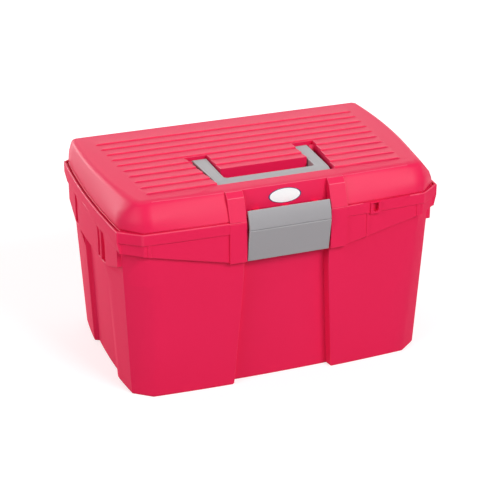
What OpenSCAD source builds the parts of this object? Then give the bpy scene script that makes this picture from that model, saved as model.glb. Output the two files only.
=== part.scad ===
// Grooming box: a moulded tub with a hinged ribbed lid, a fold-flat handle,
// a front clasp and a lift-out tray. X runs along the length, the front is -Y.

/* [Box] */
// Length over the bowed ends of the rim
box_l = 406; // [396:1:420]
// Depth of the rim between its front and back corners
box_d = 270; // [264:1:284]
// Height of the base, up to the line where the lid closes
base_h = 217; // [212:1:230]
// Height of the lid above that line, without its ribs
lid_h = 32.6; // [32:0.2:38]
// Thickness of the moulded walls
wall_t = 3; // [2.4:0.1:3.4]
// Bulge of the front and the ends between their corners
bow = 5; // [4:0.5:6]
// Length of the corner chamfers along the front
corner_l = 24; // [21:0.5:27]
// Length of the corner chamfers along the ends
corner_w = 19; // [17:0.5:22]

/* [Base] */
// How much shorter each end is at the foot than the rim
draft_l = 15.4; // [13:0.1:17]
// How much the front and back draw in at the foot
draft_d = 18; // [15:0.5:20]
// Set-back of the front and back walls behind the rim at the top
wall_setback = 4.4; // [3.8:0.1:5]
// Set-back of the end walls behind the rim at the top
end_setback = 5.4; // [4.8:0.1:6]
// Height of the flat plinth under the walls
plinth_h = 2; // [1.5:0.5:3]
// Thickness of the floor
floor_t = 3.4; // [3:0.1:4.5]
// Height of the proud band round the rim
rim_h = 13.4; // [11:0.2:16]
// Set-back of the skirt under the rim band
skirt_setback = 2.2; // [1.6:0.1:3]
// Depth of the skirt below the lid line at the middle
skirt_mid = 50.4; // [47:0.2:54]
// Depth of the skirt below the lid line at the corners
skirt_end = 27; // [24:0.5:31]
// Depth of the collar's lower edge below the lid line at the middle
collar_h = 61.5; // [60.5:0.5:64]
// Set-back of the collar's face behind the rim
collar_back = 3; // [2.4:0.1:3.6]
// Height over which the collar's face draws back under the rim
collar_slope = 14; // [12:0.5:16]
// Height over which the collar runs out into the wall
collar_fade = 4; // [3:0.5:5]
// Half length of the collar below the corner notches
collar_half = 106; // [102:0.5:110]
// Height of the corner notches
notch_h = 20; // [17:0.5:22]
// Depth below the lid line at which the collar has melted into the pilasters
melt_low = 92; // [84:1:100]
// Sunken end panel: its front edge at the foot, from the middle
dent_foot = 57.6; // [55:0.2:60]
// Sunken end panel: its front edge at the top, from the middle
dent_front = 49; // [47:0.2:49.4]
// Sunken end panel: its rear edge, from the middle
dent_rear = 44.6; // [42:0.2:46]
// Depth of the sunken end panel
dent_d = 5.6; // [5:0.1:6.2]
// Half width of the front bay at the foot
bay_foot_half = 62.4; // [58:0.2:66]
// Depth of the front bay
bay_d = 10.7; // [9.7:0.1:11.3]
// Width of the pilasters beside the bay
pilaster_w = 20.5; // [17:0.5:23]

/* [Collar slots] */
// Distance of the wide front slot from the middle of the end
slot_front = 50.8; // [50:0.2:54]
// Distance of the wide rear slot from the middle of the end
slot_rear = 54; // [50:0.2:58]
// Width of the wide slots
slot_w = 13; // [10:0.5:15]
// Distance of the narrow front slot from the middle
slim_y = 38.4; // [37:0.2:39.4]
// Width of the narrow front slot
slim_w = 7; // [6:0.2:8]
// Depth of the slots at their upper end
slot_top_d = 1.6; // [1.2:0.1:2.4]
// Depth of the slots at their lower end
slot_low_d = 5.6; // [4.6:0.1:5.8]
// Distance of the slots' upper end below the lid line
slot_drop = 23; // [21:0.5:26]
// Distance of the slots' lower end below the lid line
slot_end = 60; // [57:0.5:60]

/* [Padlock eye] */
// Distance of the eye from the middle of the front
eye_x = 107.9; // [100:0.1:114]
// Width of the eye's frame
eye_w = 13.2; // [12:0.2:15]
// Width of the opening
eye_open = 7.4; // [6.4:0.2:8]
// Height of the opening
eye_h = 11.2; // [9:0.2:11.6]
// How far the frame stands out from the rim
eye_proud = 1.2; // [0.8:0.1:1.8]

/* [Lid] */
// Inset of the lid's lower edge from the rim at the front and back
lid_inset = 2; // [1.5:0.1:2.6]
// Inset of the lid's lower edge from the rim at the ends
lid_end_inset = 4.6; // [3.6:0.1:5]
// How far the front crease's corners lie inside the rim's ends
crease_end_in = 26.3; // [24:0.1:30]
// How far the flat top lies inside the rim's ends at its widest
top_end_in = 5.5; // [4:0.1:8]
// How far the front crease's corners lie behind the rim's front corners
crease_in = 18.7; // [17:0.1:21]
// How far the straight back edge of the top lies inside the rim
top_back_in = 30.6; // [28:0.1:33]
// Radius to which the top edge is softened
crease_r = 5; // [4:0.2:6]
// Number of ribs on the lid
rib_n = 10; // [8:1:10]
// Height of the ribs
rib_h = 1.7; // [1.4:0.1:2]
// Length of the steep front face of a rib
rib_face = 0.4; // [0.3:0.1:0.8]
// Length of the ramps at the two ends of a rib
rib_ramp = 5; // [4:0.2:6]
// Distance of the foremost rib from the front crease's corners
rib_front_in = 18.6; // [17:0.2:21]
// Distance of the rearmost rib's front from the back edge of the top
rib_back_in = 34.2; // [32:0.2:37]

/* [Handle] */
// Width over the arms at the pivots
handle_w = 147; // [140:0.5:150]
// Distance from the pivots to the front edge of the grip
handle_reach = 84.5; // [80:0.5:85]
// Width of the arms
arm_w = 17.5; // [15:0.5:19]
// Width of the grip
grip_w = 21; // [19:0.5:23]
// Thickness of the handle
handle_t = 12.6; // [11:0.2:13]
// How much narrower each side of the handle is at the grip
handle_taper = 3; // [2:0.5:4]
// Distance of the pivots behind the front crease's corners
pivot_in = 102.6; // [102:0.1:106]
// Depth of the handle's top below the lid's top
handle_sink = 2.4; // [2:0.1:3]
// Radius of the handle pins
handle_pin_r = 3; // [2.5:0.1:3.4]
// Depth of the well
well_depth = 22; // [20:0.5:23]
// Gap beside the arms at the pivots
well_side = 8.9; // [7.5:0.1:9.5]
// Gap in front of the grip
well_front_gap = 1.6; // [1.2:0.1:2]
// Finger room behind the grip
finger_gap = 19.4; // [17:0.2:21]

/* [Latch] */
// Width of the latch
latch_w = 100.4; // [94:0.2:104]
// Height of the latch's top edge above the lid line
latch_up = 11.8; // [11:0.1:12.4]
// Depth of the latch's lower edge below the lid line
latch_down = 51; // [48:0.5:53]
// How far the crease of the latch stands out from the rim
latch_proud = 3.5; // [3.2:0.1:4]
// Depth of the crease below the lid line
latch_crease = 10.8; // [9:0.2:14]
// How far the lower edge leans in from the crease
latch_lean = 7; // [6:0.1:7.6]
// Thickness of the latch plate
latch_t = 3; // [2.6:0.1:3.2]
// Radius of the latch pin
latch_pin_r = 1.8; // [1.5:0.1:2]
// Radius of the knuckles round the latch pin
latch_knuckle_r = 3.6; // [3.4:0.1:3.8]

/* [Label] */
// Width of the oval label
label_w = 40; // [36:0.5:44]
// Height of the oval label
label_h = 17.4; // [15:0.2:18]
// Thickness of the label
label_t = 0.5; // [0.4:0.1:0.8]
// Height of the label's middle above the lid line
label_up = 18.6; // [18:0.1:20]

/* [Rear hinges] */
// Distance of each hinge from the end of the box
hinge_in = 85; // [73:0.5:98]
// Radius of the hinge knuckles
hinge_r = 4.5; // [4.2:0.1:4.8]
// Radius of the hinge pins
hinge_pin_r = 2; // [1.6:0.1:2.2]
// Length of the middle knuckle, which belongs to the lid
hinge_mid = 22; // [18:0.5:26]
// Length of each outer knuckle, which belongs to the base
hinge_side = 12; // [10:0.5:14]

/* [Tray] */
// Height of the tray
tray_h = 50; // [44:0.5:53]
// Depth of the tray's rim below the lid line
tray_drop = 18; // [16:0.5:20]
// Gap between the tray and the narrowest part of the tub
tray_gap = 4; // [3:0.5:5]
// Thickness of the tray's walls
tray_t = 2.2; // [1.8:0.1:2.6]
// Length of the ledges that carry the tray
ledge_l = 30; // [24:0.5:34]
// Distance of the dividers from the middle of the tray
divider_x = 88; // [80:0.5:96]
// Height of the grip above the tray's rim
tray_grip_up = 6; // [4:0.5:8]
// Length of the hand hole in the tray's grip
tray_hole_l = 90; // [80:1:100]
// Height of the hand hole
tray_hole_h = 22; // [20:0.5:24]

/* [Fits] */
// Running clearance round a pivot pin
pin_clear = 0.05; // [0.03:0.01:0.09]
// Gap between pieces that pass each other
part_gap = 0.5; // [0.4:0.05:0.6]
// Gap between the latch hook and its catch
hook_gap = 0.3; // [0.2:0.05:0.4]

/* [Hidden] */
$fn = 64;

pink = [0.86, 0.12, 0.30];
grey = [0.66, 0.66, 0.68];
steel = [0.75, 0.76, 0.78];
white = [0.95, 0.95, 0.95];

// Steps along each stretch of an outline
run_steps = 6;
mid_steps = 4;
// Overlap used where solids are joined or cut through
over = 1;
// Step between the rim band and the collars on the ends, and between faces that are all but flush
rim_step = 0.6;
flush = 0.2;
// Collars: reach into the wall, set-back of the lower edge, turn at the corners, sink into the wall
collar_in = 18;
collar_sink = 8.4;
melt_turn = 39;
melt_sink = 0.8;
// Walls against the rim: longer chamfers along the ends, and at the foot rounder faces and shorter chamfers
wall_turn = 3;
foot_end_bow = 1.9;
foot_front_bow = 1;
foot_corner_l = 2.6;
foot_corner_w = 4.8;
// Share of an inset by which a chamfer gets shorter
chamfer_share = 0.6;
// Slant of the bay's sides, gap beside the latch and depth of the bay in the rim
bay_slant = 2;
latch_side = 1.5;
bay_rim_d = 12;
// Depth of the padlock eye behind the rim, and of the ridge that the latch hooks under
eye_d = 4.2;
catch_d = 5;
// Root of the hinge brackets inside the rim
hinge_root = 4;
// Small upright strips on the skirt: near the corners and beside the eye, their width and height
strip_x = 165.5;
eye_strip_in = 8.3;
strip_w = 4;
strip_h = 0.8;
// Groove in the rim beside the lid, and the lip that it leaves
lip_w = 1.8;
lip_d = 3;

rim_hl = box_l / 2 - bow;
rim_hd = box_d / 2;
lid_top = base_h + lid_h;
crease_y = rim_hd - crease_in;
crease_l = 2 * (rim_hl - crease_end_in);
top_l = 2 * (rim_hl - top_end_in);
top_back = rim_hd - top_back_in;
hinge_x = box_l / 2 - hinge_in;
bay_half = latch_w / 2 + latch_side;
hinge_y = rim_hd + bow + latch_proud - hinge_r;
pin_l = hinge_mid + 2 * hinge_side + 2 * part_gap;

// Handle and well
island_gap = 1.8;
grip_slope = 5;
grip_edge = 3;
pin_stop = 4;
handle_corner = 4;
handle_inner = 3;
pivot_y = pivot_in - crease_y;
pivot_z = lid_top - handle_sink - handle_t / 2;
handle_front = pivot_y - handle_reach;
grip_back = handle_front + grip_w;
well_back = pivot_y + handle_t / 2 + part_gap;
well_front = handle_front - well_front_gap;
well_half_back = handle_w / 2 + well_side;
well_half_front = handle_w / 2 - handle_taper + well_front_gap;
island_half = handle_w / 2 - arm_w - island_gap;
island_front = grip_back + finger_gap;
pin_wall_x = well_half_back - (well_half_back - well_half_front)
    * (well_back - pivot_y) / (well_back - well_front);

// Floor of the base's bay at the rim, and the tray's ledges
bay_rim_y = -(rim_hd + bow - bay_rim_d);
ledge_t = 5;
ledge_reach = 9;

// Front bay of the lid: its floor leans from the crease down to the lid line
bay_lean = 4.6;
bay_wall = 6;
bay_top_y = -(crease_y + bow);
bay_low_y = bay_top_y - bay_lean;
bay_tilt = atan2(bay_top_y - bay_low_y, lid_h);
function bay_floor_y(z) = bay_low_y + (bay_top_y - bay_low_y) * (z - base_h) / lid_h;

// Latch pivot and section
latch_top_in = 6.4;
latch_axis_in = 11;
latch_axis_up = 5.6;
latch_bend = 1.6;
seam_w = 1.6;
seam_d = 1.7;
hook_reach = 7.6;
latch_crease_y = -(rim_hd + bow + latch_proud);
latch_crease_z = base_h - latch_crease;
latch_low_y = latch_crease_y + latch_lean;
latch_low_z = base_h - latch_down;
latch_top_y = latch_crease_y + latch_top_in;
latch_top_z = base_h + latch_up;
latch_axis_y = latch_crease_y + latch_axis_in;
latch_axis_z = base_h + latch_axis_up;
latch_sweep = norm([latch_top_y - latch_axis_y, latch_top_z - latch_axis_z]) + part_gap;
lug_x = 36;
lug_w = 8;
hook_h = 4;
hook_z = latch_low_z + hook_h;
hook_half = 30;

// Tray: it hangs above mid height, where the tub is a little wider
tray_room = 2;
tray_grip_side = 14;
tray_grip_edge = 6;
tray_grip_skin = 1.6;
tray_grip_slot = 6;
tray_wall_drop = 6;
tray_wall_back = 12;
divider_drop = 8;
divider_gap = 0.2;
tray_hl = rim_hl - end_setback - draft_l / 2 - wall_t - tray_gap;
tray_back = rim_hd - wall_setback - draft_d / 2 - wall_t - tray_gap + tray_room;
tray_front = -(rim_hd + bow - wall_setback - draft_d / 2 - bay_d - wall_t - tray_gap + tray_room);
tray_z = base_h - tray_drop - tray_h;
tray_corner = 18;
tray_wall_y = (tray_front + tray_back) / 2 + tray_wall_back;
tray_grip_half = tray_hole_l / 2 + tray_grip_side;
groove = 2.4;

// A list of evenly spaced values from a to b
function span(a, b, n) = [for (i = [0:n]) a + (b - a) * i / n];
function mix(a, b, t) = a + (b - a) * t;

// Plan of the box: half length, half depth, bow at the ends, bow at the front, chamfer lengths
function plan(hl, hd, end_bow = bow, front_bow = bow, cl = corner_l, cw = corner_w) =
    [hl, hd, end_bow, front_bow, cl, cw];
function front_pt(x, s, depth = 0) = [x, depth - s[1] - s[3] * (1 - pow(x / (s[0] - s[4]), 2))];
function end_pt(y, s, depth = 0) = [s[0] + s[2] * (1 - pow(y / (s[1] - s[5]), 2)) - depth, y];

// Right half of a plan, from mid front to the back corner. The bay is [half width, depth, slant]
// and the dent is [front edge, rear edge, depth, slant]
function half_plan(s, bay, dent) = concat(
    [for (x = span(0, bay[0] - bay[2], mid_steps)) front_pt(x, s, bay[1])],
    [for (x = span(bay[0], s[0] - s[4], run_steps)) front_pt(x, s)],
    [for (y = span(s[5] - s[1], -dent[0], run_steps)) end_pt(y, s)],
    [for (y = span(dent[3] - dent[0], dent[1] - dent[3], mid_steps)) end_pt(y, s, dent[2])],
    [for (y = span(dent[1], s[1] - s[5], run_steps)) end_pt(y, s)],
    [[s[0] - s[4], s[1]]]);
function both_halves(h) = concat(h, [for (i = [len(h) - 1:-1:1]) [-h[i][0], h[i][1]]]);
function full_plan(s, bay, dent) = both_halves(half_plan(s, bay, dent));

// Triangles that fill a full plan: spokes from its middle, index plan_n, and from the bay's inner corners
half_n = 2 * (mid_steps + 1) + 3 * (run_steps + 1) + 1;
plan_n = 2 * half_n - 1;
front_end = mid_steps + run_steps + 1;
half_cap = concat(
    [for (i = [0:mid_steps - 1]) [plan_n, i, i + 1]],
    [for (i = [mid_steps + 1:front_end - 1]) [mid_steps, i, i + 1]],
    [[plan_n, mid_steps, front_end]],
    [for (i = [front_end:half_n - 2]) [plan_n, i, i + 1]]);
function mirror_i(i) = i == 0 || i == plan_n ? i : plan_n - i;
bay_cap = concat(half_cap, [for (t = half_cap) [mirror_i(t[2]), mirror_i(t[1]), mirror_i(t[0])]],
    [[plan_n, half_n - 1, half_n]]);

// Solid through a stack of rings [height, points], closed by spokes or by the given cap
function middle(p) = let (x = [for (q = p) q[0]], y = [for (q = p) q[1]])
    [(min(x) + max(x)) / 2, (min(y) + max(y)) / 2];
module loft(rings, cap = []) {
    n = len(rings[0][1]);
    last = len(rings) - 1;
    hub = n * len(rings);
    points = concat([for (r = rings) for (p = r[1]) [p[0], p[1], r[0]]],
        [for (r = [rings[0], rings[last]]) let (m = middle(r[1])) [m[0], m[1], r[0]]]);
    sides = [for (k = [0:last - 1], i = [0:n - 1]) let (j = (i + 1) % n, a = k * n, b = a + n)
        each [[a + i, b + i, b + j], [a + i, b + j, a + j]]];
    fill = len(cap) > 0 ? cap : [for (i = [0:n - 1]) [n, i, (i + 1) % n]];
    low = [for (t = fill) [for (i = t) i == n ? hub : i]];
    high = [for (t = fill) [for (k = [2:-1:0]) t[k] == n ? hub + 1 : last * n + t[k]]];
    polyhedron(points, concat(low, high, sides));
}

// Extrusion along X of a section drawn in Y and Z
module along_x(x0, x1) {
    translate([x0, 0, 0]) rotate([90, 0, 90]) linear_extrude(x1 - x0) children();
}

// Rod along X, centred on y and z
module rod(x0, x1, y, z, r) {
    translate([x0, y, z]) rotate([0, 90, 0]) cylinder(h = x1 - x0, r = r);
}

// Plan of the main wall at a height, moved in by t, with the bay and the end panels
function wall_share(z) = z / base_h;
function wall_plan(z, t) = plan(
    mix(rim_hl - draft_l, rim_hl - end_setback, wall_share(z)) - t,
    mix(rim_hd - draft_d, rim_hd - wall_setback, wall_share(z)) - t,
    mix(bow + foot_end_bow, bow, wall_share(z)),
    mix(bow + foot_front_bow, bow, wall_share(z)),
    mix(corner_l - foot_corner_l, corner_l, wall_share(z)) - chamfer_share * t,
    mix(corner_w + wall_turn - foot_corner_w, corner_w + wall_turn, wall_share(z)) - chamfer_share * t);
dent_top = base_h - collar_h - collar_fade - dent_d;
function bay_half_at(z) = mix(bay_foot_half, bay_half + over, min(1, z / dent_top));
function dent_front_at(z) = mix(dent_foot, dent_front, min(1, z / dent_top));
function wall_ring(z, t, dented) = [z, full_plan(wall_plan(z, t), [bay_half_at(z) + t, bay_d, bay_slant],
    [dent_front_at(z) + t, dent_rear + t, dented ? dent_d : 0, dent_d / 2])];

module wall_solid(z0, z1, t) {
    loft([wall_ring(z0, t, true), wall_ring(dent_top, t, true),
        wall_ring(dent_top + dent_d, t, false), wall_ring(z1, t, false)], bay_cap);
}

// Flat plan at the rim, moved in by t, with its ends cut back by end_t more
module rim_shape(t, end_t = 0) {
    s = plan(rim_hl - t - end_t, rim_hd - t, bow, bow, corner_l - end_t, corner_w * (1 - end_t / corner_l));
    polygon(full_plan(s, [bay_half, 0, bay_slant], [dent_front, dent_rear, 0, dent_d / 2]));
}

// Skirt under the rim band, whose lower edge climbs towards the corners
module skirt(back) {
    low = base_h - skirt_mid;
    high = base_h - skirt_end;
    x_in = bay_half + pilaster_w / 2;
    x_out = rim_hl - corner_l;
    intersection() {
        translate([0, 0, low]) linear_extrude(base_h - over - low) rim_shape(back, collar_back);
        rotate([90, 0, 0]) linear_extrude(4 * rim_hd, center = true)
            polygon([[-rim_hl - bow, high], [-x_out, high], [-x_in, low - over], [x_in, low - over],
                [x_out, high], [rim_hl + bow, high], [rim_hl + bow, base_h], [-rim_hl - bow, base_h]]);
    }
}
module skirt_strips() {
    intersection() {
        skirt(skirt_setback - strip_h);
        for (x = [-strip_x, eye_x - eye_strip_in, strip_x])
            translate([x - strip_w / 2, -2 * rim_hd, 0]) cube([strip_w, 2 * rim_hd, base_h]);
    }
}

// Upright bands beside the bay, all but flush with the rim
module pilasters() {
    low = base_h - skirt_mid;
    half = bay_half + pilaster_w;
    intersection() {
        translate([0, 0, low]) linear_extrude(base_h - 2 * over - low) rim_shape(rim_step / 2);
        translate([-half, -2 * rim_hd, low - over]) cube([2 * half, 2 * rim_hd, base_h]);
    }
}

// Rim band, skirt and pilasters, open where the bay runs up between the pilasters
module rim_dress() {
    far = 2 * rim_hd;
    difference() {
        union() {
            translate([0, 0, base_h - rim_h]) linear_extrude(rim_h) rim_shape(rim_step);
            skirt(skirt_setback);
            skirt_strips();
            pilasters();
            eye_frame();
        }
        translate([-bay_half, -far, 0]) cube([2 * bay_half, far, base_h - rim_h]);
        translate([-bay_half, -far, base_h - rim_h - over])
            cube([2 * bay_half, far + bay_rim_y, rim_h + 2 * over]);
        eye_opening();
    }
}

// Face of the right-hand collar between two places along the end, closed by a straight inner edge
function collar_ring(z, y0, y1, back) = let (s = plan(rim_hl - back, rim_hd), x_in = rim_hl - collar_in)
    [z, concat([for (y = span(y0, y1, 2 * run_steps)) end_pt(y, s)], [[x_in, y1], [x_in, y0]])];
// Foot of the collar on a pilaster: its face turns in towards the corner and melts into the wall
function melt_ring(z, edge, back) = let (s = plan(rim_hl - back, rim_hd), x_in = rim_hl - collar_in,
    w = wall_plan(z, melt_sink), tip = w[1] - w[5] - over)
    [z, concat([for (y = span(edge, collar_half - melt_turn, run_steps)) end_pt(y, s)],
        [end_pt(tip, w), [x_in, tip], [x_in, edge]])];
module collar_foot(edge) {
    low = base_h - melt_low;
    fade = rim_hl - wall_plan(low, melt_sink)[0];
    loft([melt_ring(low, edge, fade),
        melt_ring(base_h - slot_end - 2 * over, edge, collar_back + 2 * flush),
        melt_ring(base_h - skirt_end - notch_h, edge, collar_back + flush)]);
}
// The collar's lower edge climbs from the slots to the corner notches
module collar() {
    low = base_h - collar_h;
    fade_low = low - collar_fade;
    high = base_h - skirt_end - notch_h;
    flat = max(slot_front, slot_rear) + slot_w + over;
    end = collar_half + over;
    slope_low = base_h - rim_h - collar_slope;
    band_back = collar_back * min(1, (skirt_end - rim_h) / collar_slope);
    full = rim_hd - corner_w;
    difference() {
        union() {
            intersection() {
                loft([collar_ring(fade_low, -collar_half, collar_half, collar_sink),
                    collar_ring(low, -collar_half, collar_half, collar_back),
                    collar_ring(slope_low, -collar_half, collar_half, collar_back),
                    collar_ring(base_h - rim_h, -collar_half, collar_half, 0)]);
                along_x(0, 2 * rim_hl) polygon([[-flat, low], [-flat, fade_low - over],
                    [flat, fade_low - over], [flat, low], [end, high], [end, base_h], [-end, base_h],
                    [-end, high]]);
            }
            loft([collar_ring(base_h - skirt_end, -full, full, band_back),
                collar_ring(base_h - rim_h, -full, full, 0),
                collar_ring(base_h, -full, full, 0)]);
            collar_foot(dent_rear + over);
            mirror([0, 1, 0]) collar_foot(dent_front + over);
        }
        for (s = [[slot_rear, slot_w], [-slot_front - slot_w, slot_w], [-slim_y - slim_w, slim_w]])
            collar_slot(s[0], s[1]);
    }
}
module collar_slot(y, w) {
    top = base_h - slot_drop;
    low = base_h - slot_end;
    x_out = rim_hl + 2 * bow;
    x_face = end_pt(y + w / 2, plan(rim_hl - collar_back, rim_hd))[0];
    translate([0, y + w, 0]) rotate([90, 0, 0]) linear_extrude(w)
        polygon([[x_face - slot_top_d, top], [x_face - slot_low_d, low], [x_out, low],
            [x_out, top + slot_top_d]]);
}

// Frame and opening of the padlock eye on the rim
module eye_frame() {
    face = -front_pt(eye_x, plan(rim_hl, rim_hd))[1];
    translate([eye_x - eye_w / 2, -face - eye_proud, base_h - rim_h - eye_proud])
        cube([eye_w, eye_d + over, rim_h + eye_proud - rim_step]);
}
module eye_opening() {
    face = -front_pt(eye_x, plan(rim_hl, rim_hd))[1];
    r = eye_open / 2;
    top = base_h - over;
    translate([eye_x, eye_d - face, top]) rotate([90, 0, 0]) linear_extrude(4 * eye_d) union() {
        translate([0, r - eye_h]) circle(r);
        translate([-r, r - eye_h]) square([eye_open, eye_h - r]);
    }
}

// Groove beside the ends of the lid
module rim_groove() {
    translate([0, 0, base_h - lip_d]) linear_extrude(lip_d + over) difference() {
        rim_shape(rim_step + lip_w);
        polygon(lid_plan(0, 0));
    }
}

// Knuckles along a rear hinge, as [start, length] from the hinge's middle
base_knuckles = [[-hinge_mid / 2 - part_gap - hinge_side, hinge_side],
    [hinge_mid / 2 + part_gap, hinge_side]];
module base_hinge(x) {
    for (k = base_knuckles) {
        rod(x + k[0], x + k[0] + k[1], hinge_y, base_h, hinge_r);
        translate([x + k[0], rim_hd - hinge_root, base_h - rim_h + over])
            cube([k[1], hinge_y - rim_hd + hinge_root, rim_h - 2 * over]);
    }
}

// Ledges inside one end that carry the tray
module ledges() {
    x0 = tray_hl - ledge_reach;
    intersection() {
        for (s = [-1, 1])
            translate([x0, s * dent_rear / 2 - ledge_l / 2, tray_z - ledge_t])
                cube([rim_hl - x0, ledge_l, ledge_t]);
        wall_solid(plinth_h, base_h, wall_t / 2);
    }
}

module base_tub() {
    color(pink) difference() {
        union() {
            difference() {
                union() {
                    linear_extrude(plinth_h + over) polygon(wall_ring(0, rim_step, true)[1]);
                    wall_solid(plinth_h, base_h - rim_h / 2, 0);
                    rim_dress();
                    collar();
                    mirror([1, 0, 0]) collar();
                }
                wall_solid(floor_t, base_h + over, wall_t);
                rim_groove();
            }
            ledges();
            mirror([1, 0, 0]) ledges();
            base_hinge(-hinge_x);
            base_hinge(hinge_x);
            translate([-hook_half, latch_hook_y() + hook_gap, hook_z + 2 * hook_h])
                cube([2 * hook_half, catch_d, hook_h]);
        }
        for (x = [-hinge_x, hinge_x]) {
            rod(x - pin_l / 2, x + pin_l / 2, hinge_y, base_h, hinge_pin_r);
            rod(x - hinge_mid / 2 - part_gap / 2, x + hinge_mid / 2 + part_gap / 2, hinge_y, base_h,
                hinge_r + part_gap);
        }
    }
}

// Lid plans: at the lid line and at the virtual sharp edge of the top
lid_turn = lid_end_inset - lid_inset;
function lid_low_half() = let (s = plan(rim_hl - lid_end_inset, rim_hd - lid_inset, bow, bow,
    corner_l - lid_turn, corner_w + lid_turn)) concat(
    [for (x = span(0, s[0] - s[4], 2 * run_steps)) front_pt(x, s)],
    [for (y = span(s[5] - s[1], s[1] - s[5], 2 * run_steps)) end_pt(y, s)],
    [[s[0] - s[4], s[1]]]);
top_wide_y = 44;
crease_cut_x = 4.4;
crease_cut_y = 9;
crease_bow = bow + 0.8;
back_cut = 2;
top_curve = (top_l / 2 - crease_l / 2 - crease_cut_x) / pow(crease_y - crease_cut_y + top_wide_y, 2);
function top_pt(y) = [top_l / 2 - top_curve * pow(y - top_wide_y, 2), y];
function lid_top_half() = concat(
    [for (u = span(0, 1, 2 * run_steps)) [u * crease_l / 2, -crease_y - crease_bow * (1 - u * u)]],
    [for (y = span(crease_cut_y - crease_y, top_back - back_cut, 2 * run_steps)) top_pt(y)],
    [[top_pt(top_back)[0] - back_cut, top_back]]);

// Lid plan a share t of the way up, moved in by inset. The top edge is softened by soft, and less so at
// the back, and the front corners bulge by a share of their slope
back_soft = 0.3;
hip_bulge = 0.2;
lid_run = 2 * run_steps;
function near_hip(i) = pow(max(0, 1 - 2 * abs(i <= lid_run ? lid_run - i : i - lid_run - 1) / lid_run), 2);
function lid_plan(t, inset, soft = 0) = let (low = lid_low_half(), top = lid_top_half(),
    kx = 1 - (inset + soft) / rim_hl)
    both_halves([for (i = [0:len(low) - 1])
        let (p = mix(low[i], top[i], t - 4 * t * (1 - t) * hip_bulge * near_hip(i)),
            ky = 1 - (inset + soft * (p[1] < 0 ? 1 : back_soft)) / crease_y)
        [p[0] * kx, p[1] * ky]]);
function lid_ring(up, inset, soft = 0) = [base_h + up, lid_plan(up / lid_h, inset, soft)];

// The foot is drawn in, the sides bulge a little and the top edge is softened in two steps
lid_bulge = 0.9;
soft_up = 0.3 * crease_r;
soft_in = 0.24 * crease_r;
lid_low_up = lid_h / 4;
foot_up = 1.2;
foot_in = 1.2;
module lid_skin() {
    loft([lid_ring(0, foot_in), lid_ring(foot_up, foot_in), lid_ring(foot_up + flush, 0),
        lid_ring(lid_low_up, -lid_bulge / 2), lid_ring(lid_h / 2, -lid_bulge), lid_ring(lid_h - crease_r, 0),
        lid_ring(lid_h - soft_up, 0, soft_in), lid_ring(lid_h, 0, crease_r)]);
}
module lid_hollow() {
    loft([[base_h - over, lid_plan(0, wall_t)], lid_ring(lid_h / 2, wall_t),
        lid_ring(lid_h - crease_r - wall_t, wall_t, rim_step), lid_ring(lid_h - wall_t, wall_t, crease_r)]);
}

// Ribs: long planks that rise gently to the front, drop in a short steep face and run out at their ends
rib_margin_back = 22.5;
rib_margin_front = 13;
rib_front = rib_front_in - crease_y;
rib_back = top_back - rib_back_in;
rib_pitch = (rib_back - rib_front) / (rib_n - 1);
function rib_field(up) = let (inset = rib_ramp * up / rib_h, y0 = rib_front - over, y1 = rib_back + rib_pitch,
    front = crease_l / 2 - rib_margin_front - inset, back = top_l / 2 - rib_margin_back - inset)
    [lid_top + up, [[-front, y0], [front, y0], [back, y1], [-back, y1]]];
module ribs() {
    intersection() {
        along_x(-top_l / 2, top_l / 2) polygon(concat(
            [[rib_front, lid_top - over], [rib_back + rib_pitch, lid_top - over]],
            [for (i = [0:rib_n - 1]) let (y = rib_back - i * rib_pitch)
                each [[y + rib_pitch, lid_top], [y + rib_face, lid_top + rib_h], [y, lid_top]]]));
        loft([rib_field(-over), rib_field(rib_h + over)]);
    }
}

// Well for the handle: an outer box below the top and a U-shaped pocket
module well_box() {
    t = wall_t;
    translate([0, 0, lid_top - well_depth - t]) difference() {
        linear_extrude(well_depth + t - over)
            polygon([[-well_half_front - t, well_front - t], [well_half_front + t, well_front - t],
                [well_half_back + t, well_back + t], [-well_half_back - t, well_back + t]]);
        translate([t - island_half, island_front + t, -over])
            cube([2 * (island_half - t), well_back - island_front - 2 * t, well_depth + over]);
    }
}
module well_pocket() {
    translate([0, 0, lid_top - well_depth]) linear_extrude(well_depth + rib_h + over)
        polygon([[-well_half_back, well_back], [-well_half_front, well_front], [well_half_front, well_front],
            [well_half_back, well_back], [island_half, well_back], [island_half, island_front],
            [-island_half, island_front], [-island_half, well_back]]);
}
module pin_boss(side) {
    x0 = handle_w / 2 + 2 * part_gap;
    x1 = pin_wall_x + wall_t;
    mirror([side < 0 ? 1 : 0, 0, 0]) rod(x0, x1, pivot_y, pivot_z, handle_pin_r + wall_t);
}

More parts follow.
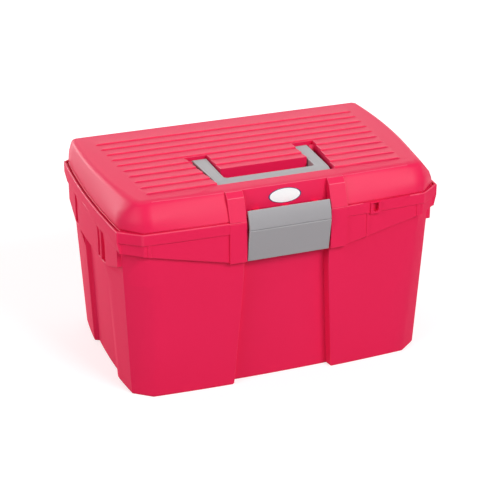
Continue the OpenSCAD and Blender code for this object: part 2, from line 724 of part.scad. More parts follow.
// Front of the lid: pilasters with slanted heads and a sunken bay between them
head_in = 9.4;
head_drop = 6.4;
module lid_front() {
    half = bay_half + pilaster_w;
    face = -(rim_hd + bow - lid_inset / 2);
    top = lid_top - rim_step;
    along_x(-half, half) polygon([[face, base_h], [bay_low_y + bay_wall, base_h],
        [bay_top_y + bay_wall, lid_top - wall_t], [bay_top_y + 2 * bay_wall, top],
        [bay_top_y - 2 * over, top], [face + head_in, lid_top - head_drop]]);
}
module lid_bay() {
    front = -2 * rim_hd;
    low = base_h - over;
    top = lid_top + over;
    along_x(-bay_half, bay_half)
        polygon([[bay_floor_y(low), low], [bay_floor_y(top), top], [front, top], [front, low]]);
    rod(-bay_half, bay_half, latch_axis_y, latch_axis_z, latch_sweep);
}
lug_spots = [-lug_x, 0, lug_x];
module latch_lugs() {
    for (x = lug_spots) {
        rod(x - lug_w / 2, x + lug_w / 2, latch_axis_y, latch_axis_z, latch_knuckle_r);
        along_x(x - lug_w / 2, x + lug_w / 2) polygon([[latch_axis_y, latch_axis_z - latch_knuckle_r],
            [latch_axis_y + latch_sweep + 2 * over, latch_axis_z - latch_knuckle_r],
            [latch_axis_y + latch_sweep + 2 * over, latch_axis_z + over],
            [latch_axis_y, latch_axis_z + latch_knuckle_r]]);
    }
}
module lid_hinge(x) {
    rod(x - hinge_mid / 2, x + hinge_mid / 2, hinge_y, base_h, hinge_r);
    root_y = rim_hd - lid_inset - 2 * hinge_root;
    translate([x - hinge_mid / 2, root_y, base_h + part_gap])
        cube([hinge_mid, hinge_y - root_y, hinge_r - part_gap]);
}

module lid() {
    color(pink) difference() {
        union() {
            difference() {
                union() {
                    difference() {
                        lid_skin();
                        lid_hollow();
                    }
                    ribs();
                    well_box();
                    lid_front();
                }
                lid_bay();
                well_pocket();
            }
            latch_lugs();
            pin_boss(-1);
            pin_boss(1);
            lid_hinge(-hinge_x);
            lid_hinge(hinge_x);
        }
        rod(-lug_x - lug_w, lug_x + lug_w, latch_axis_y, latch_axis_z, latch_pin_r);
        rod(handle_w / 2, pin_wall_x + wall_t + over, pivot_y, pivot_z, handle_pin_r);
        rod(-pin_wall_x - wall_t - over, -handle_w / 2, pivot_y, pivot_z, handle_pin_r);
        for (x = [-hinge_x, hinge_x])
            rod(x - hinge_mid, x + hinge_mid, hinge_y, base_h, hinge_pin_r + pin_clear);
        for (x = [-hinge_x, hinge_x], k = base_knuckles)
            rod(x + k[0] - part_gap, x + k[0] + k[1] + part_gap, hinge_y, base_h, hinge_r + part_gap);
    }
}

// Handle: a U in plan, cut to a side view with round pivot ends and a bevelled grip
module handle() {
    r = handle_t / 2;
    half = handle_w / 2;
    front = half - handle_taper;
    hole = half - arm_w;
    color(grey) difference() {
        intersection() {
            translate([0, 0, pivot_z - r]) linear_extrude(handle_t) difference() {
                polygon([[-half, pivot_y + r], [-front, handle_front + handle_corner],
                    [handle_corner - front, handle_front], [front - handle_corner, handle_front],
                    [front, handle_front + handle_corner], [half, pivot_y + r]]);
                polygon([[-hole, pivot_y + handle_t], [-hole, grip_back + handle_inner],
                    [handle_inner - hole, grip_back], [hole - handle_inner, grip_back],
                    [hole, grip_back + handle_inner], [hole, pivot_y + handle_t]]);
            }
            along_x(-half - over, half + over) union() {
                translate([pivot_y, pivot_z]) circle(r);
                polygon([[pivot_y, pivot_z - r], [pivot_y, pivot_z + r],
                    [grip_back - grip_slope, pivot_z + r],
                    [grip_back - 2 * grip_slope, pivot_z + r - rim_step],
                    [handle_front, pivot_z + r - grip_slope], [handle_front, pivot_z - r + grip_edge],
                    [handle_front + grip_edge, pivot_z - r]]);
            }
        }
        rod(-half - over, half + over, pivot_y, pivot_z, handle_pin_r + pin_clear);
    }
}
module handle_pin(side) {
    x0 = handle_w / 2 - arm_w + pin_stop;
    color(steel) mirror([side < 0 ? 1 : 0, 0, 0])
        rod(x0, pin_wall_x + wall_t, pivot_y, pivot_z, handle_pin_r);
}

// Latch: a plate bent along a seam that hangs from its pin, with a hook inside its lower edge
function latch_hook_y() = latch_low_y + latch_t + hook_reach;
module latch() {
    t = latch_t;
    half = latch_w / 2;
    mid_z = mix(latch_crease_z, latch_top_z, 0.5);
    knuckle_x0 = lug_w / 2 + part_gap;
    knuckle_x1 = lug_x - lug_w / 2 - part_gap;
    color(grey) difference() {
        union() {
            along_x(-half, half) polygon([[latch_top_y, latch_top_z],
                [latch_top_y + t - rim_step, latch_top_z - over],
                [latch_crease_y + t + latch_bend, mid_z], [latch_crease_y + t, latch_crease_z],
                [latch_low_y + t, latch_low_z], [latch_low_y, latch_low_z],
                [latch_crease_y, latch_crease_z - seam_w / 2],
                [latch_crease_y + seam_d, latch_crease_z + seam_w / 2 - flush],
                [latch_crease_y, latch_crease_z + seam_w / 2], [latch_crease_y + latch_bend, mid_z]]);
            for (s = [-1, 1]) {
                x0 = s > 0 ? knuckle_x0 : -knuckle_x1;
                rod(x0, x0 + knuckle_x1 - knuckle_x0, latch_axis_y, latch_axis_z, latch_knuckle_r);
                translate([x0, latch_axis_y - latch_knuckle_r - 2 * over, latch_axis_z - latch_knuckle_r])
                    cube([knuckle_x1 - knuckle_x0, latch_knuckle_r + 2 * over, 2 * (latch_knuckle_r - over)]);
            }
            translate([-hook_half, latch_low_y + over, hook_z])
                cube([2 * hook_half, latch_hook_y() - latch_low_y - over, hook_h]);
        }
        rod(-lug_x, lug_x, latch_axis_y, latch_axis_z, latch_pin_r + pin_clear);
    }
}
module latch_pin() {
    color(steel) rod(-lug_x - lug_w / 2, lug_x + lug_w / 2, latch_axis_y, latch_axis_z, latch_pin_r);
}

// Oval label on the sloping floor of the lid's bay
module label() {
    z = base_h + label_up;
    oval = [for (a = [0:6:354]) [label_w / 2 * cos(a), label_h / 2 * sin(a)]];
    color(white) translate([0, bay_floor_y(z), z]) rotate([90 - bay_tilt, 0, 0])
        linear_extrude(label_t) polygon(oval);
}

module hinge_pin(x) {
    color(steel) rod(x - pin_l / 2, x + pin_l / 2, hinge_y, base_h, hinge_pin_r);
}

// Tray: an open box, a middle wall that is left open for the grip, and grooves for the dividers
module tray_shape(t) {
    c = tray_corner - chamfer_share * t;
    x = tray_hl - t;
    y0 = tray_front + t;
    y1 = tray_back - t;
    polygon([[c - x, y0], [x - c, y0], [x, y0 + c], [x, y1 - c],
        [x - c, y1], [c - x, y1], [-x, y1 - c], [-x, y0 + c]]);
}
module tray() {
    wall_end = tray_grip_half - tray_grip_slot + divider_gap;
    wall_l = tray_hl - tray_t / 2 - wall_end;
    color(grey) union() {
        translate([0, 0, tray_z]) difference() {
            linear_extrude(tray_h) tray_shape(0);
            translate([0, 0, tray_t]) linear_extrude(tray_h) tray_shape(tray_t);
        }
        for (x = [-wall_end - wall_l, wall_end])
            translate([x, tray_wall_y, tray_z + tray_t / 2])
                cube([wall_l, tray_t, tray_h - tray_t - tray_wall_drop]);
        for (x = [-divider_x, divider_x], s = [-1, 1],
            y = [tray_front + tray_t / 2, tray_wall_y - groove])
            translate([x + s * (tray_t + groove + divider_gap) / 2 - groove / 2, y, tray_z + tray_t / 2])
                cube([groove, groove + tray_t / 2, tray_h - tray_t - divider_drop]);
    }
}

// Grip: a plate with a hand hole, pushed down over the two ends of the tray's middle wall
module tray_grip() {
    slot_t = tray_t + 2 * divider_gap;
    grip_t = slot_t + 2 * tray_grip_skin;
    grip_y = tray_wall_y + tray_t / 2;
    hole_z = tray_z + tray_h + tray_grip_up - tray_hole_h / 2 - tray_grip_edge;
    color(grey) difference() {
        translate([-tray_grip_half, grip_y - grip_t / 2, tray_z + tray_t])
            cube([2 * tray_grip_half, grip_t, tray_h + tray_grip_up - tray_t]);
        for (x = [-tray_grip_half - over, tray_grip_half - tray_grip_slot])
            translate([x, grip_y - slot_t / 2, tray_z])
                cube([tray_grip_slot + over, slot_t, tray_h - tray_wall_drop]);
        translate([0, grip_y + grip_t, hole_z]) rotate([90, 0, 0]) linear_extrude(2 * grip_t) {
            square([tray_hole_l - tray_hole_h, tray_hole_h], center = true);
            for (s = [-1, 1])
                translate([s * (tray_hole_l - tray_hole_h) / 2, 0]) circle(tray_hole_h / 2);
        }
    }
}
module tray_divider(x) {
    color(grey) translate([x - tray_t / 2, tray_front + tray_t + divider_gap, tray_z + tray_t])
        cube([tray_t, tray_wall_y - tray_front - tray_t - 2 * divider_gap, tray_h - tray_t - divider_drop]);
}

base_tub();
lid();
handle();
handle_pin(-1);  // handle_pin_left
handle_pin(1);  // handle_pin_right
latch();
latch_pin();
label();
hinge_pin(-hinge_x);  // hinge_pin_left
hinge_pin(hinge_x);  // hinge_pin_right
tray();
tray_grip();
tray_divider(-divider_x);  // tray_divider_left
tray_divider(divider_x);  // tray_divider_right
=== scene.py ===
# %% [markdown]
# A grooming box is a lidded plastic tub that carries brushes and combs to the stable.
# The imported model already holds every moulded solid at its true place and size, so this lesson gives those
# solids what a mould and a photo studio give the real box: rounded edges, grained plastic, a printed label,
# soft light and a camera.  Each step says what the piece is on the real box, how it could be made, and why
# this way was chosen.

import math

import bmesh
import bpy
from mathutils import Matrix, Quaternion, Vector
from mathutils.kdtree import KDTree


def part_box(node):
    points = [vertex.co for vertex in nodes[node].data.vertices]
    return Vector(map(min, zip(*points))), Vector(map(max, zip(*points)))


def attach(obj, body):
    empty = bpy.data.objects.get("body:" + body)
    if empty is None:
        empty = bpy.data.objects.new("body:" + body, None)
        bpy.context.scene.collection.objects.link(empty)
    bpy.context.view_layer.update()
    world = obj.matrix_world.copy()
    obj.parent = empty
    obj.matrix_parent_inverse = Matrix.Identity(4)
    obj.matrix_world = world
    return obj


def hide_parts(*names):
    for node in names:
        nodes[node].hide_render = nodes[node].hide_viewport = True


MM = 0.001
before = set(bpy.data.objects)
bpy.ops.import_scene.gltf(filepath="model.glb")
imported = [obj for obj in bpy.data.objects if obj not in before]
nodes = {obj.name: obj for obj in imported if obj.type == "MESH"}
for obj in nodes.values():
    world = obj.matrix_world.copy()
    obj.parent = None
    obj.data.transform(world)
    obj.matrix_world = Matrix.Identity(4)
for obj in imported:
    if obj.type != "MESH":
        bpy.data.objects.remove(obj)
scene = bpy.context.scene
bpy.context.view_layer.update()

# %% [markdown]
# The picture was taken with a long lens from the front left, well above the lid.  Such a camera could be
# placed by eye, but the box has many straight edges, so its place was worked out from where their corners
# fall in the picture.  The box then shows the same slight convergence as the real one does.

# %% Camera
CAMERA_PLACE = Vector((-614.9, -1643.7, 922.3)) * MM
CAMERA_TARGET = Vector((1.37, -6.6, 116.1)) * MM
CAMERA_ROLL = math.radians(-0.110)
CAMERA_LENS = 112.26
SENSOR_WIDTH = 36.0


def aim(thing, place, target, roll=0.0):
    """Put a lamp or a camera at a place, looking at a target."""
    thing.location = place
    thing.rotation_mode = "QUATERNION"
    thing.rotation_quaternion = (target - place).to_track_quat("-Z", "Y") @ Quaternion((0, 0, 1), roll)


camera = bpy.data.objects.new("camera", bpy.data.cameras.new("camera"))
camera.data.sensor_width = SENSOR_WIDTH
camera.data.lens = CAMERA_LENS
aim(camera, CAMERA_PLACE, CAMERA_TARGET, CAMERA_ROLL)
scene.collection.objects.link(camera)
scene.camera = camera
print("camera distance in mm:", round((CAMERA_PLACE - CAMERA_TARGET).length / MM))

# %% [markdown]
# Shader maths is easier to read as Python than as a list of links.  One small class wraps a socket, so that
# `dullness + grain * 0.1` adds its two Math nodes by itself.


# %% Wires
class Wire:
    """An output socket that can stand in an expression."""

    def __init__(self, desk, socket):
        self.desk = desk
        self.socket = socket

    def maths(self, operation, first, second):
        return self.desk.wire("ShaderNodeMath", {"operation": operation}, {0: first, 1: second})

    def __add__(self, other):
        return self.maths("ADD", self, other)

    __radd__ = __add__

    def __sub__(self, other):
        return self.maths("SUBTRACT", self, other)

    def __rsub__(self, other):
        return self.maths("SUBTRACT", other, self)

    def __mul__(self, other):
        return self.maths("MULTIPLY", self, other)

    __rmul__ = __mul__

    def __gt__(self, limit):
        return self.maths("GREATER_THAN", self, limit)


print("a wire can be added, subtracted, multiplied and compared")

# %% [markdown]
# Everything that is not plain maths comes from one method: it makes a node of any type, sets what kind it
# is first, and then fills or links its sockets.  The class stands for one node tree, so the same method
# serves the plastics, the floor and the surround.


# %% Node desks
class Desk:
    """A node tree that is built by hand, of a material or of the world."""

    def __init__(self, owner, output):
        owner.use_nodes = True
        self.owner = owner
        self.tree = owner.node_tree
        self.tree.nodes.clear()
        self.output = self.tree.nodes.new(output)

    def node(self, kind, settings=None, sockets=None):
        made = self.tree.nodes.new(kind)
        for key, value in (settings or {}).items():
            setattr(made, key, value)
        for key, value in (sockets or {}).items():
            if isinstance(value, Wire):
                self.tree.links.new(value.socket, made.inputs[key])
            else:
                made.inputs[key].default_value = value
        return made

    def wire(self, kind, settings=None, sockets=None, output=0):
        return Wire(self, self.node(kind, settings, sockets).outputs[output])

    def place(self):
        return self.wire("ShaderNodeTexCoord", output="Object")

    def noise(self, where, scale, detail, roughness=0.5):
        return self.wire("ShaderNodeTexNoise", None, {
            "Vector": where, "Scale": scale, "Detail": detail, "Roughness": roughness})

    def mix(self, share, first, second):
        return self.wire("ShaderNodeMix", {"data_type": "RGBA"}, {0: share, 6: first, 7: second}, 2)

    def bump(self, height, strength, distance):
        return self.wire("ShaderNodeBump", None, {
            "Strength": strength, "Distance": distance, "Height": height})

    def surface(self, shader):
        self.tree.links.new(shader.socket, self.output.inputs["Surface"])
        return self.owner


def finish_desk(name):
    return Desk(bpy.data.materials.new(name), "ShaderNodeOutputMaterial")


print("desks ready for finishes and for the surround")

# %% [markdown]
# The box is polypropylene: one raspberry colour all through, from a mould whose steel was spark-eroded to a
# fine grain.  A flat colour would look like a drawing.  So a broad cloud shifts the colour a little, as the
# melt does when it cools at different speeds, and a fine noise makes the grain in both the gloss and the
# bump.  Hands, shelves and stable doors polish the edges first, so the rounded edges are made glossier.
# They are also painted paler, as a painted highlight for the thin bright line that light draws along a
# rounded edge.  Each piece carries an attribute that marks its rounded edges, and a patchy noise decides how
# strong the painted highlight is on an edge.

# %% Moulded plastic
CLOUD_SCALE = 9.0
CLOUD_DETAIL = 3.0
CLOUD_DULLS = 0.06
GRAIN_SCALE = 900.0
GRAIN_DETAIL = 2.0
GRAIN_ROUGH = 0.6
GRAIN_DULLS = 0.08
GRAIN_STRENGTH = 0.35
GRAIN_DEPTH = 0.06 * MM
PATCH_SCALE = 70.0
PATCH_DETAIL = 4.0
PATCH_ROUGH = 0.7
# The painted highlight on rounded edges: its least share, and the share that the patch noise adds to it.
LEAST_HIGHLIGHT = 0.16
PATCHY_HIGHLIGHT = 0.6
PLASTIC_SPECULAR = 0.28
POLISHED = 0.26


def moulded_plastic(name, colour, deep, highlit, dullness):
    desk = finish_desk(name)
    where = desk.place()
    cloud = desk.noise(where, CLOUD_SCALE, CLOUD_DETAIL)
    grain = desk.noise(where, GRAIN_SCALE, GRAIN_DETAIL, GRAIN_ROUGH)
    highlight_patches = desk.noise(where, PATCH_SCALE, PATCH_DETAIL, PATCH_ROUGH)
    edge = desk.wire("ShaderNodeAttribute", {"attribute_name": "rounded_edge"}, output="Fac")
    # Painted highlight: a rounded edge is mixed towards the paler colour, in patches.
    edge_highlight = edge * (LEAST_HIGHLIGHT + highlight_patches * PATCHY_HIGHLIGHT)
    body = desk.mix(cloud, deep, colour)
    moulded_dullness = dullness + grain * GRAIN_DULLS + cloud * CLOUD_DULLS
    shader = desk.wire("ShaderNodeBsdfPrincipled", None, {
        "Base Color": desk.mix(edge_highlight, body, highlit),
        "Roughness": moulded_dullness - edge * (dullness - POLISHED),
        "Specular IOR Level": PLASTIC_SPECULAR,
        "Normal": desk.bump(grain, GRAIN_STRENGTH, GRAIN_DEPTH),
    })
    return desk.surface(shader)


# The printed share is the least painted highlight on a rounded edge.
print("an edge is rubbed by at least", LEAST_HIGHLIGHT)

# %% [markdown]
# The tub and the lid come in the same colour.  They could share one finish, but the walls of the tub are
# duller, which hides scratches, and the lid has more sheen, so each gets its own.

# %% Raspberry plastics
RASPBERRY = (0.80, 0.009, 0.083, 1.0)
DEEP_RASPBERRY = (0.76, 0.006, 0.070, 1.0)
# The paler raspberry is painted on rounded edges as a painted highlight.
HIGHLIT_RASPBERRY = (0.87, 0.13, 0.22, 1.0)
TUB_DULLNESS = 0.60
LID_DULLNESS = 0.41
box_plastic = moulded_plastic("box_plastic", RASPBERRY, DEEP_RASPBERRY, HIGHLIT_RASPBERRY, TUB_DULLNESS)
lid_plastic = moulded_plastic("lid_plastic", RASPBERRY, DEEP_RASPBERRY, HIGHLIT_RASPBERRY, LID_DULLNESS)
print("made", box_plastic.name, "and", lid_plastic.name)

# %% [markdown]
# The handle, the clasp and the tray are the same kind of plastic in light grey.  They share the recipe, and
# differ only in their three greys (the colour, a deeper one, and a paler one painted on the rounded edges as
# a highlight) and in gloss.

# %% Grey plastics
# In each set the third grey is the painted highlight for the rounded edges.
HANDLE_GREYS = ((0.41, 0.40, 0.41, 1.0), (0.38, 0.37, 0.38, 1.0), (0.55, 0.54, 0.55, 1.0))
CLASP_GREYS = ((0.335, 0.325, 0.34, 1.0), (0.31, 0.30, 0.315, 1.0), (0.45, 0.44, 0.45, 1.0))
TRAY_GREYS = ((0.50, 0.50, 0.51, 1.0), (0.47, 0.47, 0.48, 1.0), (0.60, 0.60, 0.61, 1.0))
GREY_DULLNESS = 0.36
TRAY_DULLNESS = 0.42
grey_plastic = moulded_plastic("grey_plastic", *HANDLE_GREYS, GREY_DULLNESS)
clasp_plastic = moulded_plastic("clasp_plastic", *CLASP_GREYS, GREY_DULLNESS)
tray_plastic = moulded_plastic("tray_plastic", *TRAY_GREYS, TRAY_DULLNESS)
print("made", grey_plastic.name, clasp_plastic.name, "and", tray_plastic.name)

# %% [markdown]
# The pins are drawn steel wire.  Drawing leaves fine lines along the wire, which run along X here.  So a
# noise is stretched along X, and varies both the colour and the gloss of a bare metal.

# %% Drawn steel
DRAWN_LINES = (40.0, 2500.0, 2500.0)
LINE_DETAIL = 3.0
DARK_STEEL = (0.50, 0.50, 0.52, 1.0)
BRIGHT_STEEL = (0.66, 0.66, 0.68, 1.0)
STEEL_DULLNESS = 0.22
LINES_DULL = 0.16


def drawn_steel():
    desk = finish_desk("pin_steel")
    along = desk.wire("ShaderNodeMapping", None, {"Vector": desk.place(), "Scale": DRAWN_LINES})
    lines = desk.noise(along, 1.0, LINE_DETAIL)
    shader = desk.wire("ShaderNodeBsdfPrincipled", None, {
        "Base Color": desk.mix(lines, DARK_STEEL, BRIGHT_STEEL),
        "Metallic": 1.0,
        "Roughness": STEEL_DULLNESS + lines * LINES_DULL,
    })
    return desk.surface(shader)


pin_steel = drawn_steel()
print("made", pin_steel.name)

# %% [markdown]
# A mould has no knife edges: every outer edge of the real box is rounded by a millimetre or so, and that
# thin rounding is what catches the light.  The solids are sharp, so each one gets a copy whose loose
# triangles are merged and whose flat faces are made whole again.  The Bevel modifier can then round single
# edges by a weight.


# %% Whole faces
WELD = 0.002 * MM
FLAT = math.radians(0.25)


def merged(name):
    """A bmesh of a CAD node with its triangles joined and its flat faces made whole."""
    bm = bmesh.new()
    bm.from_mesh(nodes[name].data)
    bmesh.ops.remove_doubles(bm, verts=bm.verts, dist=WELD)
    bmesh.ops.dissolve_degenerate(bm, edges=bm.edges, dist=WELD)
    bmesh.ops.dissolve_limit(bm, angle_limit=FLAT, verts=bm.verts, edges=bm.edges)
    return bm


def turn(edge):
    """The angle by which the surface turns at an edge."""
    return edge.calc_face_angle(0.0) if len(edge.link_faces) == 2 else 0.0


def centre(edge):
    return (edge.verts[0].co + edge.verts[1].co) / 2


print("solids to dress:", len(nodes))

# %% [markdown]
# Two roundings must not run into each other, so each edge's width is cut down to what the faces beside it
# leave room for: less than half of the way along the next edges of such a face, and to any edge across it.


# %% Room for a rounding
SHARE = 0.46
FLATTEST = 0.05
FACING = -0.5
NO_LIMIT = 1.0


def heading(loop):
    return (loop.link_loop_next.vert.co - loop.vert.co).normalized()


def reach(point, edge):
    """Distance from a point to an edge."""
    start = edge.verts[0].co
    along = edge.verts[1].co - start
    share = (point - start).dot(along) / along.length_squared
    return (point - start - along * max(0.0, min(1.0, share))).length


def gap(edge, other):
    """The shortest way from a corner of one edge to the other edge."""
    there = [reach(corner.co, other) for corner in edge.verts]
    back = [reach(corner.co, edge) for corner in other.verts]
    return min(there + back)


def room(edge, rounded):
    """How wide a rounding the faces beside an edge leave room for."""
    limit = NO_LIMIT
    for loop in edge.link_loops:
        ahead = heading(loop)
        for across in loop.face.loops:
            apart = not set(across.edge.verts).intersection(edge.verts)
            if (apart or across.edge in rounded) and heading(across).dot(ahead) < FACING:
                limit = min(limit, SHARE * gap(edge, across.edge))
        after = loop.link_loop_next
        for corner, other in ((loop, loop.link_loop_prev.edge), (after, after.edge)):
            angle = max(FLATTEST, min(math.pi - FLATTEST, corner.calc_angle()))
            if other in rounded:
                width = min(edge.calc_length(), other.calc_length()) * math.tan(angle / 2)
            else:
                width = other.calc_length() * math.sin(angle)
            limit = min(limit, SHARE * width)
    return limit


print("share of a face that one rounding may take:", SHARE)

# %% [markdown]
# Where a face is narrow or has a hole, a rounding can still fold it over, and a folded face renders black.
# Such a face is easy to find, because one of its triangles looks the other way.  The roundings beside it
# are then left out and the piece is rounded again, until no face is folded or the tries run out.


# %% Folded faces
SMALL_FOLD = 0.02 * MM * MM
MOST_TRIES = 8


def folds(mesh):
    """The corners of the triangles that a rounding has folded over."""
    mesh.calc_loop_triangles()
    corners = []
    for part in mesh.loop_triangles:
        face = mesh.polygons[part.polygon_index]
        if part.area > SMALL_FOLD and part.normal.dot(face.normal) < 0.0:
            corners.extend(mesh.vertices[index].co.copy() for index in part.vertices)
    return corners


def beside(edges, corners, near):
    """The edges that pass near one of the corners."""
    tree = KDTree(len(corners))
    for index, corner in enumerate(corners):
        tree.insert(corner, index)
    tree.balance()
    found = []
    for edge in edges:
        hits = tree.find_range(centre(edge), edge.calc_length() / 2 + near)
        if any(reach(corner, edge) < near for corner, index, distance in hits):
            found.append(edge)
    return found


print("roundings are tried at most", MOST_TRIES, "times")

# %% [markdown]
# The inner corners of a moulding stay crisp, because they are the sharp ridges of the mould steel, so only
# the outer edges are rounded.  The modifier puts the new strips in a second material slot.  That slot is
# read back as the attribute that the plastics use for the gloss and the painted highlight of the edges, and
# then the piece has one material again.  A strip that faces up gets more painted highlight than one that
# faces sideways, as light from above would give it.  After the rounding, the edges that still turn sharply
# are marked, and a weak turn, a strip or a soft corner is shaded smoothly.

# %% Painted edge highlight and sharp edges
SHARP_AT = math.radians(24.0)
SHARP_STRIP = math.radians(62.0)
SIDE_HIGHLIGHT = 0.2


def nowhere(edge):
    return False


def mark_rounded(mesh, material, soft):
    """Turn the slot of the rounded strips into an attribute, and find the edges that are still sharp."""
    bm = bmesh.new()
    bm.from_mesh(mesh)
    edge_light_layer = bm.faces.layers.float.new("rounded_edge")
    strips = {face for face in bm.faces if face.material_index > 0}
    for edge in bm.edges:
        gentle = soft(edge) or strips.intersection(edge.link_faces)
        edge.smooth = turn(edge) < (SHARP_STRIP if gentle else SHARP_AT)
    for face in bm.faces:
        # Painted highlight: a strip that faces up gets more of it than one that faces sideways, as if lit
        # from above.
        face[edge_light_layer] = SIDE_HIGHLIGHT + (1.0 - SIDE_HIGHLIGHT) * max(0.0, face.normal.z) if face in strips else 0.0
        face.material_index = 0
    bm.to_mesh(mesh)
    count = len(strips)
    bm.free()
    mesh.materials.clear()
    mesh.materials.append(material)
    return count


# The printed share is the painted highlight on a strip that faces sideways.
print("a strip that faces sideways is rubbed by a share of", SIDE_HIGHLIGHT)

# %% [markdown]
# Now a whole piece can be dressed: its copy is merged, each outer edge gets the width that is wished for it
# as far as there is room, and the modifier rounds it.  Weighted normals keep the large faces flat beside the
# narrow strips.  The result takes the solid's place and its body, and the solid is hidden.

# %% Rounded copies of the solids
THINNEST = 0.08
STRIP_SLOT = 1


def everywhere(width):
    """A wish for the same width in mm on every edge."""
    return lambda edge: width


def moulded(name, material, body, wish, widest, segments=2, soft=nowhere):
    """A copy of a node with rounded edges that stands for it; wish(edge) gives a width in mm."""
    bm = merged(name)
    weight = bm.edges.layers.float.new("bevel_weight_edge")
    outer = {edge for edge in bm.edges if edge.is_convex and turn(edge) > SHARP_AT}
    for face in bm.faces:
        face.smooth = True
    for edge in outer:
        width = min(wish(edge), room(edge, outer) / MM)
        if width > THINNEST:
            edge[weight] = width / widest
    mesh = bpy.data.meshes.new(name + "_sharp")
    for number in range(STRIP_SLOT + 1):
        mesh.materials.append(material)
    piece = bpy.data.objects.new(name + "_moulded", mesh)
    scene.collection.objects.link(piece)
    bevel = piece.modifiers.new("rounding", "BEVEL")
    bevel.limit_method = "WEIGHT"
    bevel.width = widest * MM
    bevel.segments = segments
    bevel.profile = 0.5
    bevel.material = STRIP_SLOT
    bevel.use_clamp_overlap = False
    for attempt in range(MOST_TRIES):
        bm.to_mesh(mesh)
        depsgraph = bpy.context.evaluated_depsgraph_get()
        shaped = bpy.data.meshes.new_from_object(piece.evaluated_get(depsgraph))
        corners = folds(shaped)
        if not corners:
            break
        for edge in beside(outer, corners, widest * MM):
            edge[weight] = 0.0
    bm.free()
    shaped.name = name + "_moulded"
    piece.modifiers.clear()
    piece.data = shaped
    bpy.data.meshes.remove(mesh)
    strips = mark_rounded(shaped, material, soft)
    piece.modifiers.new("even shading", "WEIGHTED_NORMAL").keep_sharp = True
    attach(piece, body)
    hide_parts(name)
    print(name, "faces:", len(shaped.polygons), "rounded strips:", strips, "folded corners:", len(corners))


print("the thinnest rounding in mm:", THINNEST)

# %% [markdown]
# The tub is the largest moulding.  The corners of its rim are rounded most, because a mould fills a soft
# corner and lets go of it more easily.  The top of the rim is rounded too, so that it shows as a thin bright
# line under the lid.  The front and back walls run so gently into the slanted corners that these edges are
# only shaded as soft ones.  The small frame of the padlock eye stays crisp.

# %% Tub
EYE = Vector((107.9, -140.0, 210.0)) * MM
EYE_REACH = 12 * MM
RIM_TOP = 216 * MM
RIM_CORNER = 165 * MM
SKIRT_FOOT = 190 * MM
WALL_CORNER_FROM = 155 * MM
WALL_CORNER_TO = 175 * MM
UPRIGHT = 0.8
RIM_ROUND = 1.3
CORNER_ROUND = 1.8
TUB_ROUND = 0.8


def upright(edge):
    a, b = (corner.co for corner in edge.verts)
    return abs(a.z - b.z) > UPRIGHT * (a - b).length


def wall_corner(edge):
    middle = centre(edge)
    return upright(edge) and middle.z < SKIRT_FOOT and WALL_CORNER_FROM < abs(middle.x) < WALL_CORNER_TO


def tub_edges(edge):
    middle = centre(edge)
    if wall_corner(edge) or (middle - EYE).length < EYE_REACH:
        return 0.0
    if min(corner.co.z for corner in edge.verts) > RIM_TOP:
        return RIM_ROUND
    if upright(edge) and abs(middle.x) > RIM_CORNER and middle.z > SKIRT_FOOT:
        return CORNER_ROUND
    return TUB_ROUND


moulded("base_tub", box_plastic, "base", tub_edges, CORNER_ROUND, soft=wall_corner)

# %% [markdown]
# The lid is softest at its ends and along its hips, where the front turns into the ends.  A wide rounding
# there would fold over itself where three of them meet, so those edges are only shaded as soft ones.  The
# ribs and all other outer edges have about half a millimetre.

# %% Lid
END_X = 161 * MM
FOOT_Z = 219 * MM
LID_ROUND = 0.6


def lid_end(edge):
    middle = centre(edge)
    return abs(middle.x) > END_X and middle.z > FOOT_Z


def lid_edges(edge):
    return 0.0 if lid_end(edge) else LID_ROUND


moulded("lid", lid_plastic, "lid", lid_edges, LID_ROUND, soft=lid_end)

# %% [markdown]
# The handle and the clasp are what a hand touches.  The handle is round all over, while the clasp is a
# bent plate whose seam has to stay a fine dark line, so the edges beside the seam are left nearly sharp.

# %% Handle and clasp
SEAM_Z = 206.2 * MM
SEAM_REACH = 1.5 * MM
SEAM_ROUND = 0.2
CLASP_ROUND = 0.8
HANDLE_ROUND = 1.4
HANDLE_SEGMENTS = 3


def clasp_edges(edge):
    return SEAM_ROUND if abs(centre(edge).z - SEAM_Z) < SEAM_REACH else CLASP_ROUND


moulded(
    "handle", grey_plastic, "handle", everywhere(HANDLE_ROUND), HANDLE_ROUND,
    segments=HANDLE_SEGMENTS)
moulded("latch", clasp_plastic, "latch", clasp_edges, CLASP_ROUND)

# %% [markdown]
# The tray, its grip and its dividers are thin mouldings that are seen when the lid is open.  They could
# share one mesh, but on the real box the dividers are pushed into the tray, so each stays a piece of its
# own.

# %% Tray, grip and dividers
TRAY_ROUND = 0.6
DIVIDER_ROUND = 0.5
moulded("tray", tray_plastic, "tray", everywhere(TRAY_ROUND), TRAY_ROUND)
for name in ("tray_grip", "tray_divider_left", "tray_divider_right"):
    moulded(name, tray_plastic, "tray", everywhere(DIVIDER_ROUND), DIVIDER_ROUND)

# %% [markdown]
# The pins are cut from wire.  New rods could be made for them, but the solids already have the right length
# and place, so each is only rounded a little at its ends.  The hinge pins sit in the tub, and the others in
# the lid.

# %% Pins
PIN_ROUND = 0.3
for name in ("handle_pin_left", "handle_pin_right", "latch_pin", "hinge_pin_left", "hinge_pin_right"):
    body = "base" if name.startswith("hinge") else "lid"
    moulded(name, pin_steel, body, everywhere(PIN_ROUND), PIN_ROUND)

# %% [markdown]
# The label is a plain white oval of plastic film with a thin dark blue edge, stuck to the bay above the
# clasp.  The edge could be a second piece, but it is print, so it is painted by how far a point lies from
# the oval's middle.  Film is smoother than the box, with faint waves from the glue under it.

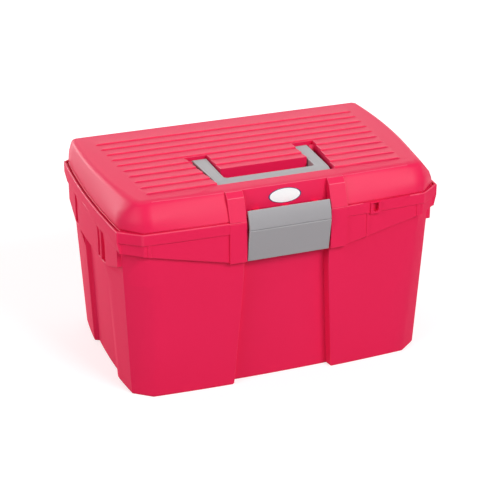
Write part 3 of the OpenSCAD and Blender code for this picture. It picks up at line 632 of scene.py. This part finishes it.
# %% Label
EDGE_FROM = 0.86
EDGE_BLUE = (0.012, 0.03, 0.12, 1.0)
FILM_DULL_WHITE = (0.90, 0.90, 0.91, 1.0)
FILM_WHITE = (0.94, 0.94, 0.94, 1.0)
FILM_DULLNESS = 0.26
FILM_ROUND = 0.12
WAVE_SCALE = 220.0
WAVE_DETAIL = 1.0
WAVE_DULLS = 0.08
WAVE_STRENGTH = 0.2
WAVE_DEPTH = 0.05 * MM


def label_film():
    desk = finish_desk("label_face")
    low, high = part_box("label")
    half = (high - low) / 2
    where = desk.place()
    centred = desk.wire("ShaderNodeMapping", {"vector_type": "TEXTURE"}, {
        "Vector": where, "Location": (low + high) / 2, "Scale": (half.x, 1.0, half.z)})
    parts = desk.node("ShaderNodeSeparateXYZ", None, {0: centred})
    x = Wire(desk, parts.outputs["X"])
    z = Wire(desk, parts.outputs["Z"])
    printed_edge = x * x + z * z > EDGE_FROM
    waves = desk.noise(where, WAVE_SCALE, WAVE_DETAIL)
    white = desk.mix(waves, FILM_DULL_WHITE, FILM_WHITE)
    shader = desk.wire("ShaderNodeBsdfPrincipled", None, {
        "Base Color": desk.mix(printed_edge, white, EDGE_BLUE),
        "Roughness": FILM_DULLNESS + waves * WAVE_DULLS,
        "Normal": desk.bump(waves, WAVE_STRENGTH, WAVE_DEPTH),
    })
    return desk.surface(shader)


moulded("label", label_film(), "lid", everywhere(FILM_ROUND), FILM_ROUND)

# %% [markdown]
# The studio is a pale floor in a pale surround.  Both look white to the camera and in reflections, and they
# light the box only as much as a pale room would, so the floor can still show the shadow under the box.
# The lamps light the floor near the box, so its own glow grows with the distance and keeps it white far
# away.

# %% Floor and surround
AMBIENT = 0.10
FLOOR_PALE = 0.55
FLOOR_GLOW = 0.62
FLOOR_HALF = 30.0
LIT_REACH = 0.5
FAR_REACH = 2.5
WHITE = (1.0, 1.0, 1.0, 1.0)


def seen(desk):
    """One where a ray comes from the camera, a reflection or a see-through piece."""
    path = desk.node("ShaderNodeLightPath")
    kinds = ("Is Camera Ray", "Is Glossy Ray", "Is Transmission Ray")
    camera_ray, glossy_ray, clear_ray = (Wire(desk, path.outputs[kind]) for kind in kinds)
    return camera_ray + glossy_ray + clear_ray


def floor_finish():
    desk = finish_desk("floor")
    pale = desk.wire("ShaderNodeBsdfDiffuse", None, {"Color": (FLOOR_PALE, FLOOR_PALE, FLOOR_PALE, 1.0)})
    away = desk.wire("ShaderNodeVectorMath", {"operation": "LENGTH"}, {0: desk.place()}, "Value")
    far = desk.wire("ShaderNodeMapRange", None, {
        "Value": away, "From Min": LIT_REACH, "From Max": FAR_REACH})
    colour = desk.mix(far, (FLOOR_GLOW, FLOOR_GLOW, FLOOR_GLOW, 1.0), WHITE)
    glow = desk.wire("ShaderNodeEmission", None, {"Color": colour, "Strength": seen(desk)})
    return desk.surface(desk.wire("ShaderNodeAddShader", None, {0: pale, 1: glow}))


floor_mesh = bpy.data.meshes.new("floor")
bm = bmesh.new()
bmesh.ops.create_grid(bm, x_segments=1, y_segments=1, size=FLOOR_HALF)
bm.to_mesh(floor_mesh)
bm.free()
floor_mesh.materials.append(floor_finish())
floor = bpy.data.objects.new("floor", floor_mesh)
scene.collection.objects.link(floor)

scene.world = bpy.data.worlds.new("surround")
surround = Desk(scene.world, "ShaderNodeOutputWorld")
surround.surface(surround.wire("ShaderNodeBackground", None, {
    "Color": WHITE, "Strength": AMBIENT + seen(surround) * (1.0 - AMBIENT)}))
print("surround level for the box:", AMBIENT)

# %% [markdown]
# Large soft lamps do the modelling, as softboxes do in a studio.  The key stands in front, high and to the
# right, and lights the front of the lid and of the tub.  A lamp on the left lifts the end, and one overhead
# evens out the top.  Two low ones behind make the long soft sheen on the lid's top and its left end.

# %% Lamps
LAMP_TARGET = Vector((0.0, 0.0, 0.15))


def softbox(name, place, size, watts):
    lamp = bpy.data.objects.new(name, bpy.data.lights.new(name, "AREA"))
    lamp.data.shape = "RECTANGLE"
    lamp.data.size, lamp.data.size_y = size
    lamp.data.energy = watts
    aim(lamp, Vector(place), LAMP_TARGET)
    scene.collection.objects.link(lamp)


softbox("key", (1.2, -2.6, 2.05), (1.6, 1.2), 84.0)
softbox("left", (-2.2, -1.0, 1.55), (1.4, 1.2), 30.0)
softbox("overhead", (0.3, 0.8, 2.9), (2.2, 1.4), 20.0)
softbox("back_left", (-1.4, 2.2, 0.5), (1.2, 0.9), 25.0)
softbox("backdrop", (0.3, 2.6, 0.9), (4.2, 1.7), 18.0)

# %% [markdown]
# The picture is shown with the Standard transform, so that a colour of the plastic is the colour on screen.

# %% View
scene.view_settings.view_transform = "Standard"
